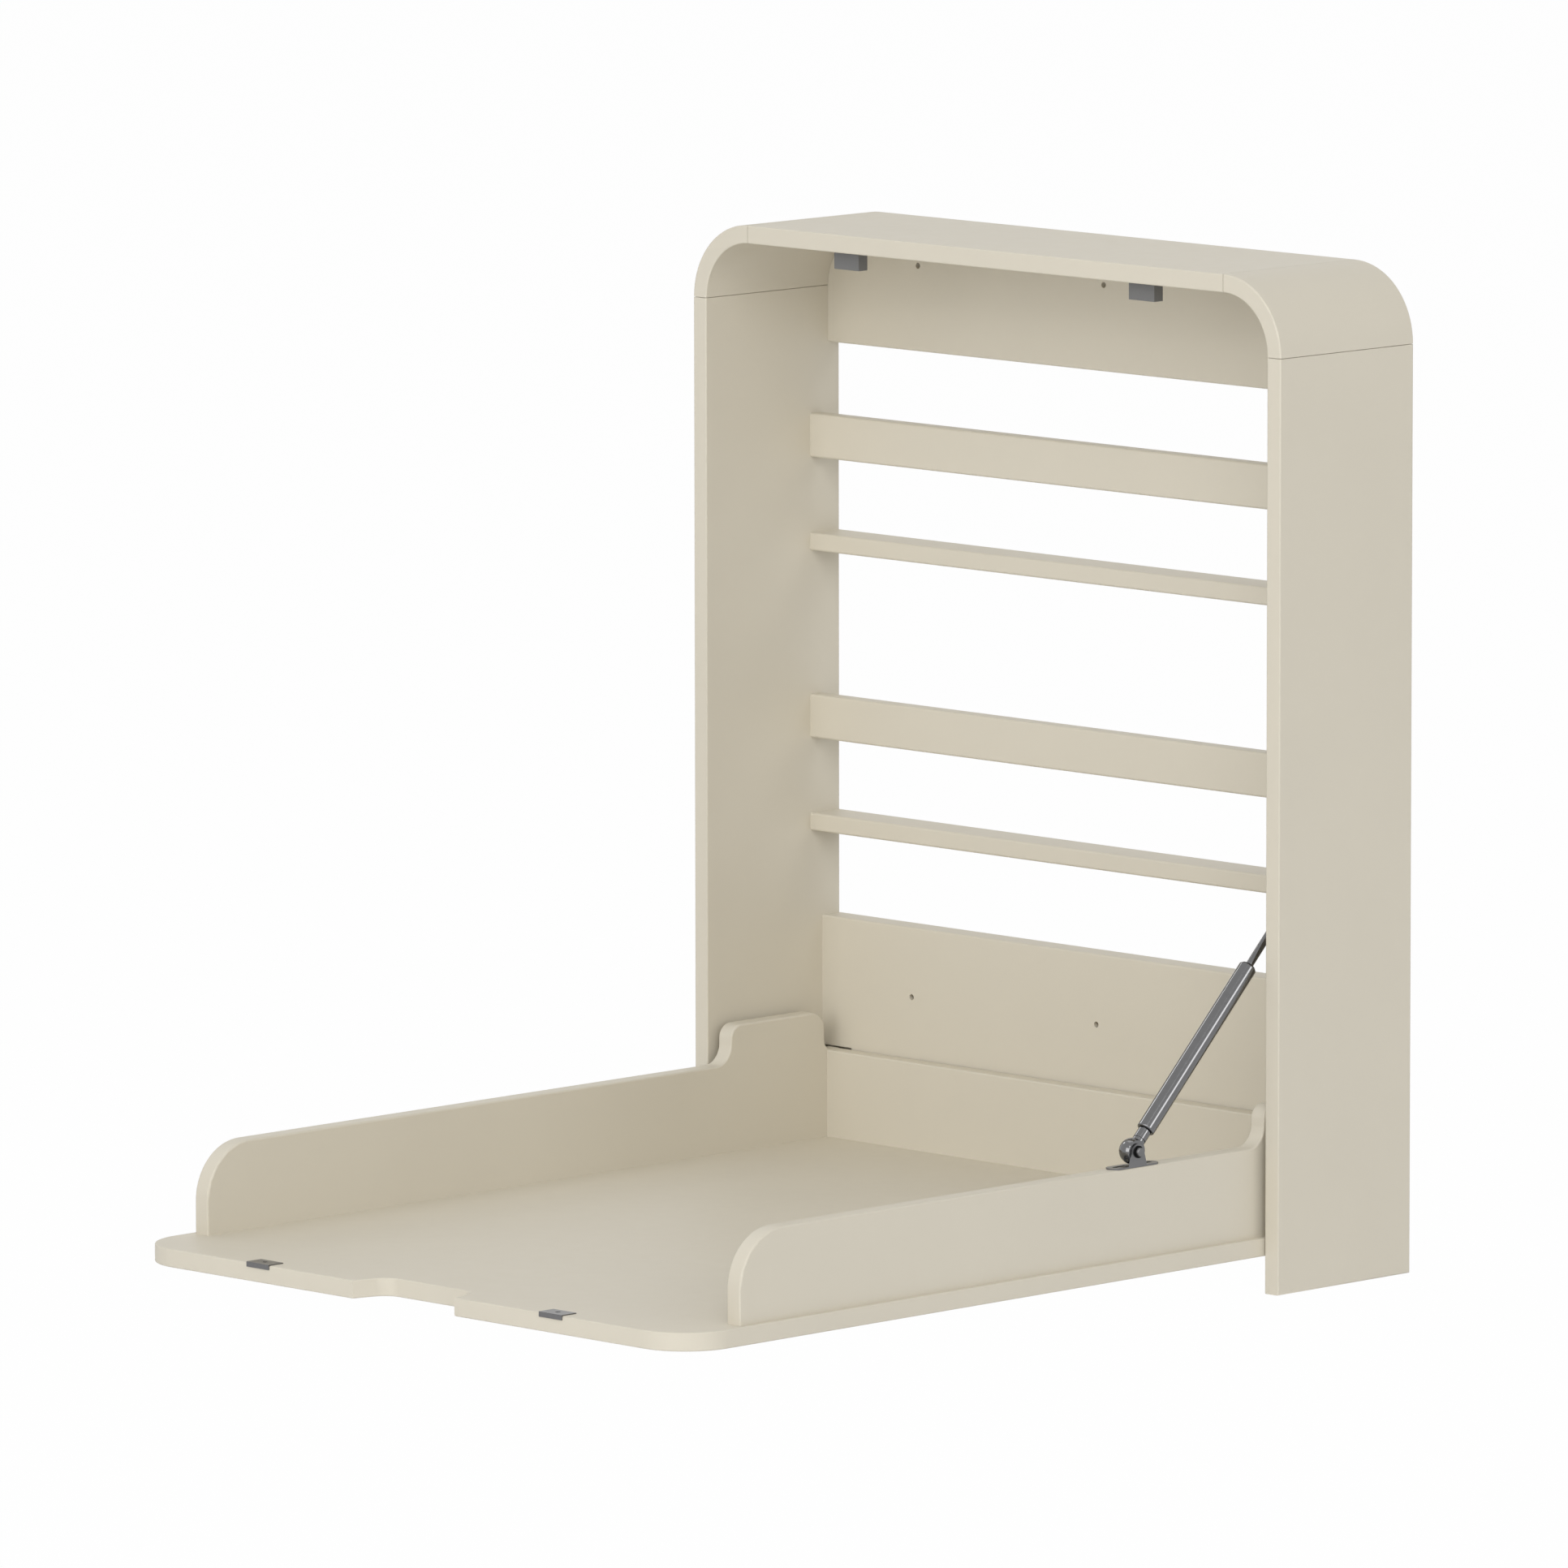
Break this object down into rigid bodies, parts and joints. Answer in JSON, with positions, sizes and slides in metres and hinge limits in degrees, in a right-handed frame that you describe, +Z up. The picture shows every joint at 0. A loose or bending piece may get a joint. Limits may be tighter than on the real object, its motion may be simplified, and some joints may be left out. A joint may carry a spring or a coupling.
{
  "type": "wall-mounted baby changing station",
  "caption": "Arched wall cabinet with shallow shelves and a fold-down changing tray that swings on side pivots and is carried by a gas strut.",
  "frame": {"origin": "on the wall face of the top hanging rail, midway between the side panels, level with the foot of the curved corners", "axes": "+X to the right seen from the front, +Y towards the wall, +Z up"},
  "size_m": [0.8, 0.9722, 0.9855],
  "materials": {
    "lacquered_board": "satin lacquer, warm off-white",
    "hidden_wood": "bare plywood",
    "grey_plastic": "matte",
    "black_plastic": "matte",
    "white_plastic": "matte",
    "steel": "zinc-plated",
    "chrome": "polished",
    "magnet": "sintered"
  },
  "bodies": {
    "cabinet": {"left_side_panel": "lacquered_board", "right_side_panel": "lacquered_board", "left_corner": "lacquered_board", "right_corner": "lacquered_board", "top_panel": "lacquered_board", "top_rail": "lacquered_board", "bottom_rail": "lacquered_board", "upper_shelf": "lacquered_board", "upper_shelf_lip": "lacquered_board", "lower_shelf": "lacquered_board", "lower_shelf_lip": "lacquered_board", "left_side_tongue": "hidden_wood", "right_side_tongue": "hidden_wood", "left_top_tongue": "hidden_wood", "right_top_tongue": "hidden_wood", "left_catch_housing": "grey_plastic", "right_catch_housing": "grey_plastic", "left_catch_magnet": "magnet", "right_catch_magnet": "magnet", "left_pivot_bush": "white_plastic", "right_pivot_bush": "white_plastic", "stay_guide": "steel", "lower_guide_screw": "steel", "upper_guide_screw": "steel"},
    "tray": {"platform": "lacquered_board", "left_tray_wall": "lacquered_board", "right_tray_wall": "lacquered_board", "tray_back_wall": "lacquered_board", "left_pivot_pin": "steel", "right_pivot_pin": "steel", "left_strike_plate": "steel", "right_strike_plate": "steel", "left_strike_screw": "steel", "right_strike_screw": "steel", "strut_bracket": "steel", "front_bracket_screw": "steel", "rear_bracket_screw": "steel", "bracket_pin": "steel", "bracket_washer": "black_plastic"},
    "strut": {"strut_ball_eye": "chrome", "strut_cylinder": "chrome", "strut_gland": "black_plastic"},
    "rod": {"strut_piston": "black_plastic", "strut_rod": "chrome", "rod_eye": "steel", "roller_pin": "steel"},
    "roller": {"guide_roller": "white_plastic"}
  },
  "joints": [
    {"name": "tray_fold", "type": "hinge", "parent": "cabinet", "child": "tray", "pos_m": [0, -0.11475, -0.801], "axis": [-1, 0, 0], "range_deg": [0, 90]},
    {"name": "strut_swing", "type": "hinge", "parent": "tray", "child": "strut", "pos_m": [0.365, -0.35425, -0.7525], "axis": [1, 0, 0], "range_deg": [0, 135]},
    {"name": "rod_slide", "type": "slide", "parent": "strut", "child": "rod", "axis": [0, 0.7071, 0.7071], "range_m": [0, 0.143]},
    {"name": "roller_spin", "type": "hinge", "parent": "rod", "child": "roller", "pos_m": [0.37705, -0.06625, -0.4645], "axis": [1, 0, 0], "continuous": true}
  ],
  "couplings": [
    {"joint": "strut_swing", "follows": "tray_fold", "ratio": 1.5},
    {"joint": "rod_slide", "follows": "tray_fold", "m_per_rad": 0.0908}
  ]
}
